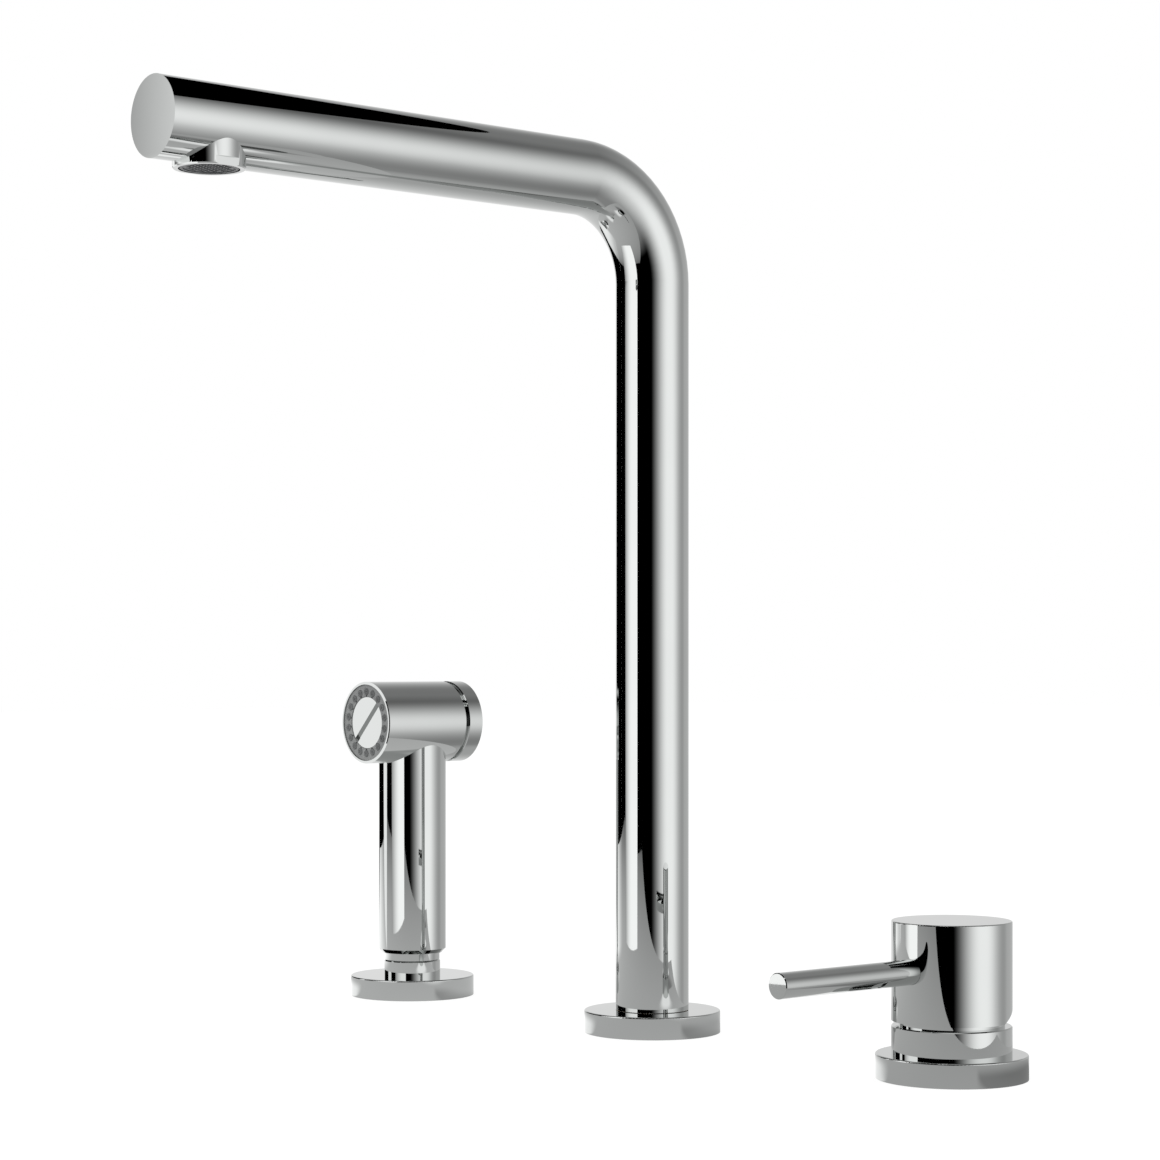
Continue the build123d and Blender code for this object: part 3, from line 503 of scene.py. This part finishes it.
slotFinish = {
    "chrome": chromePlatePolished,
    "brass": brassTurned,
    "steel": steelStamped,
    "rubber": rubberMoulded,
    "ceramic": ceramicLapped,
    "white_plastic": acetalMoulded,
    "grey_plastic": siliconeMoulded,
    "dark_plastic": acetalDark,
}
wireNodes = ("diverter_spring", "button_spring", "retaining_clip", "lever_pin")
for name, node in nodes.items():
    finish = slotFinish[node.data.materials[0].name.split(".")[0]]
    if name in wireNodes:
        finish = steelDrawn
    for index in range(len(node.data.materials)):
        node.data.materials[index] = finish
print("stage: finishes on", len(nodes), "nodes")

# Polished pieces: a round face of the CAD shows a crease where it closes on itself, because the facets on
# the two sides of that line don't share their normals. A mirror shows it, so each polished node is replaced
# by a copy with its normals levelled there, the largest facets counting most. Edges sharper than this many
# degrees stay sharp

polished = {"sharpEdge": 30, "sameSpot": 2e-6, "sameWay": 0.99999}
polishedNodes = {
    "deck_units": ("spout_flange", "mixer_flange", "spray_flange", "mixer_body", "spray_holder"),
    "spout": ("spout_tube", "spout_end_cap", "outlet_collar"),
    "mixer_lever": ("mixer_cap", "lever_rod"),
    "hand_spray": ("spray_foot", "spray_handle", "spray_head", "face_screw"),
    "spray_button": ("push_button",),
}
# The bevel of the spray head's front rim, which is polished into one bright band with its flat. Facing is the
# part of a normal along Y up to which it counts as the front
rimBevel = {"name": "spray_head", "front": (0, -1, 0), "facing": -0.2}


def addObject(name, mesh):
    piece = bpy.data.objects.new(name, mesh)
    bpy.context.scene.collection.objects.link(piece)
    return piece


def cornerNormals(mesh):
    return [corner.vector.copy() for corner in mesh.corner_normals]


def levelNormals(mesh, s):
    normals = cornerNormals(mesh)
    cornersAt = [[] for _ in mesh.vertices]
    weights = [0.0] * len(normals)
    for face in mesh.polygons:
        for index in face.loop_indices:
            cornersAt[mesh.loops[index].vertex_index].append(index)
            weights[index] = face.area ** 2
    tree = KDTree(len(mesh.vertices))
    for vertex in mesh.vertices:
        tree.insert(vertex.co, vertex.index)
    tree.balance()
    alike = cos(radians(s["sharpEdge"]))
    levelled = list(normals)
    for vertex in mesh.vertices:
        kinds = []
        for _, other, _ in tree.find_range(vertex.co, s["sameSpot"]):
            for index in cornersAt[other]:
                same = [kind for kind in kinds if kind[0].dot(normals[index]) > s["sameWay"]]
                if same:
                    same[0][1] = max(same[0][1], weights[index])
                else:
                    kinds.append([normals[index], weights[index]])
        if len(kinds) > 1:
            for index in cornersAt[vertex.index]:
                near = [way * weight for way, weight in kinds if way.dot(normals[index]) > alike]
                levelled[index] = sum(near, Vector((0, 0, 0))).normalized()
    mesh.normals_split_custom_set(levelled)


def flattenRim(mesh, s):
    front = Vector(s["front"])
    mesh.normals_split_custom_set([front if way.y < s["facing"] else way for way in cornerNormals(mesh)])


for body, names in polishedNodes.items():
    for name in names:
        mesh = nodes[name].data.copy()
        levelNormals(mesh, polished)
        if name == rimBevel["name"]:
            flattenRim(mesh, rimBevel)
        piece = addObject(name + "_polished", mesh)
        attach(piece, body)
        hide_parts(name)
print("stage: polished pieces")

# Spray face: the nozzles stand clear of the screw, as soft round bosses with a dimple each. The plate is a
# copy with the small bosses of the CAD pressed flat, out of the opening for the screw. A boss's profile gives
# the distance from its axis and the place along Y, from the dimple to the foot, just inside the plate

sprayFace = {
    "centre": (-0.1653, 0.124),
    "plateFront": -0.0256,
    "pressed": 0.0003,
    "opening": 0.0117,
    "count": 18,
    "firstStep": 0.5,
    "circle": 0.0139,
    "profile": ((0.0, -0.02576), (0.00045, -0.02576), (0.00062, -0.02612),
                (0.00105, -0.0262), (0.00145, -0.02598), (0.00165, -0.02552)),
    "sides": 24,
}


def pressFlat(plate, s):
    centreX, centreZ = s["centre"]
    for vertex in plate.vertices:
        across, up = vertex.co.x - centreX, vertex.co.z - centreZ
        reach = (across * across + up * up) ** 0.5
        if vertex.co.y < s["plateFront"] + s["pressed"]:
            out = max(reach, s["opening"]) / reach
            vertex.co = (centreX + across * out, max(vertex.co.y, s["plateFront"]), centreZ + up * out)


def addBoss(shape, centreX, centreZ, s):
    # one boss turned about its axis: a fan round the dimple, then a band for each step of the profile
    before = None
    for radius, depth in s["profile"]:
        turns = [2 * pi * index / s["sides"] for index in range(s["sides"] if radius else 1)]
        row = [shape.verts.new((centreX + radius * cos(turn), depth, centreZ + radius * sin(turn)))
               for turn in turns]
        for index in range(s["sides"] if before else 0):
            after = (index + 1) % s["sides"]
            inner = before if len(before) == 1 else (before[index], before[after])
            shape.faces.new((inner[0], row[index], row[after], *inner[1:]))
        before = row


def makeSprayFace(s):
    plate = nodes["nozzle_plate"].data.copy()
    pressFlat(plate, s)
    flatPlate = addObject("nozzle_plate_flat", plate)
    shape = bmesh.new()
    for index in range(s["count"]):
        turn = (index + s["firstStep"]) * 2 * pi / s["count"]
        addBoss(shape, s["centre"][0] + s["circle"] * cos(turn), s["centre"][1] + s["circle"] * sin(turn), s)
    mesh = bpy.data.meshes.new("nozzleBosses")
    shape.to_mesh(mesh)
    shape.free()
    # the nozzles' darker tone is painted shade
    mesh.materials.append(siliconeNozzlesPaintedShade)
    mesh.shade_smooth()
    for piece in (flatPlate, addObject("nozzleBosses", mesh)):
        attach(piece, "hand_spray")
    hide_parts("nozzle_plate")


makeSprayFace(sprayFace)
print("stage: spray face")

# Screw threads: a ridge wound on each plain cylinder or into each plain hole, tapering out at both ends. The
# part of it inside the metal doesn't show. It winds left-handed, the way that the spiral node runs. Ridge is
# a share of the pitch, runOut a number of turns and tip a share of the ridge; lean turns a thread that
# doesn't run upwards

threadShape = {"ridge": 0.38, "corners": 4, "stepsPerTurn": 40, "runOut": 0.6, "tip": 0.05, "crestAngle": 30}
waterPort = {"radius": 0.0045, "pitch": 0.001, "length": 0.0108}
shankThread = {"pitch": 0.0015, "length": 0.0569}
threadPlaces = {
    "spoutShankThread": {"foot": (0, 0, -0.0589), "radius": 0.0135, **shankThread},
    "mixerShankThread": {"foot": (0.1653, 0, -0.0589), "radius": 0.016, **shankThread},
    "sprayShankThread": {"foot": (-0.1653, 0, -0.0589), "radius": 0.011, **shankThread},
    "diverterInletThread": {
        "foot": (0, 0.0151, -0.0735), "lean": (-90, 0), "radius": 0.0083, "pitch": 0.00134, "length": 0.0141,
    },
    "diverterOutletThread": {
        "foot": (-0.0151, 0, -0.084), "lean": (0, -90), "radius": 0.0075, "pitch": 0.001, "length": 0.0141,
    },
    "hotPortThread": {"foot": (0.15794, -0.00425, -0.0594), **waterPort},
    "coldPortThread": {"foot": (0.17266, -0.00425, -0.0594), **waterPort},
    "mixedPortThread": {"foot": (0.1653, 0.0085, -0.0594), **waterPort},
    "hoseThread": {
        "foot": (-0.1653, 0, -0.0136), "radius": 0.0069, "pitch": 0.001, "length": 0.0082, "body": "hose_end",
    },
}


def makeThreadTree(s):
    tree = bpy.data.node_groups.new("woundThread", "GeometryNodeTree")
    tree.interface.new_socket("Thread", in_out="OUTPUT", socket_type="NodeSocketGeometry")
    for label in ("Radius", "Pitch", "Length"):
        tree.interface.new_socket(label, in_out="INPUT", socket_type="NodeSocketFloat")
    tree.interface.new_socket("Finish", in_out="INPUT", socket_type="NodeSocketMaterial")
    given = addNode(tree, "NodeGroupInput").outputs
    turns = math(tree, "DIVIDE", given["Length"], given["Pitch"])
    spiral = addNode(tree, "GeometryNodeCurveSpiral",
                     {"Resolution": s["stepsPerTurn"], "Rotations": turns, "Start Radius": given["Radius"],
                      "End Radius": given["Radius"], "Height": given["Length"]})
    fromFoot = math(tree, "MULTIPLY", addNode(tree, "GeometryNodeSplineParameter").outputs["Factor"], turns)
    fromEnd = math(tree, "MINIMUM", fromFoot, math(tree, "SUBTRACT", turns, fromFoot))
    height = math(tree, "MAXIMUM", math(tree, "DIVIDE", fromEnd, s["runOut"], clamp=True), s["tip"])
    tapered = addNode(tree, "GeometryNodeSetCurveRadius", {"Curve": spiral.outputs[0], "Radius": height})
    upright = addNode(tree, "GeometryNodeSetCurveNormal", {"Curve": tapered.outputs[0]}, mode="Z_UP")
    section = addNode(tree, "GeometryNodeCurvePrimitiveCircle",
                      {"Resolution": s["corners"],
                       "Radius": math(tree, "MULTIPLY", given["Pitch"], s["ridge"])})
    wound = addNode(tree, "GeometryNodeCurveToMesh",
                    {"Curve": upright.outputs[0], "Profile Curve": section.outputs[0], "Fill Caps": True})
    solid = addNode(tree, "GeometryNodeRealizeInstances", {0: wound.outputs[0]})
    finished = addNode(tree, "GeometryNodeSetMaterial",
                       {"Geometry": solid.outputs[0], "Material": given["Finish"]})
    addNode(tree, "NodeGroupOutput", {0: finished.outputs[0]})
    return tree


def plainMesh(piece):
    # the evaluated shape as an ordinary mesh, with its faces outwards
    mesh = bpy.data.meshes.new_from_object(piece.evaluated_get(bpy.context.evaluated_depsgraph_get()))
    piece.modifiers.clear()
    shape = bmesh.new()
    shape.from_mesh(mesh)
    bmesh.ops.recalc_face_normals(shape, faces=shape.faces)
    shape.to_mesh(mesh)
    shape.free()
    mesh.shade_smooth()
    piece.data = mesh
    return mesh


def makeThreads(shape, places):
    tree = makeThreadTree(shape)
    inputIds = {item.name: item.identifier for item in tree.interface.items_tree if item.in_out == "INPUT"}
    for name, place in places.items():
        piece = addObject(name, bpy.data.meshes.new(name))
        winding = piece.modifiers.new("winding", "NODES")
        winding.node_group = tree
        for label in ("Radius", "Pitch", "Length"):
            winding[inputIds[label]] = place[label.lower()]
        winding[inputIds["Finish"]] = brassTurned
        mesh = plainMesh(piece)
        mesh.set_sharp_from_angle(angle=radians(shape["crestAngle"]))
        leanX, leanY = place.get("lean", (0, 0))
        lean = Euler((radians(leanX), radians(leanY), 0)).to_matrix().to_4x4()
        mesh.transform(Matrix.Translation(place["foot"]) @ lean)
        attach(piece, place.get("body", "deck_units"))


makeThreads(threadShape, threadPlaces)
print("stage: threads")

print("stage: done")
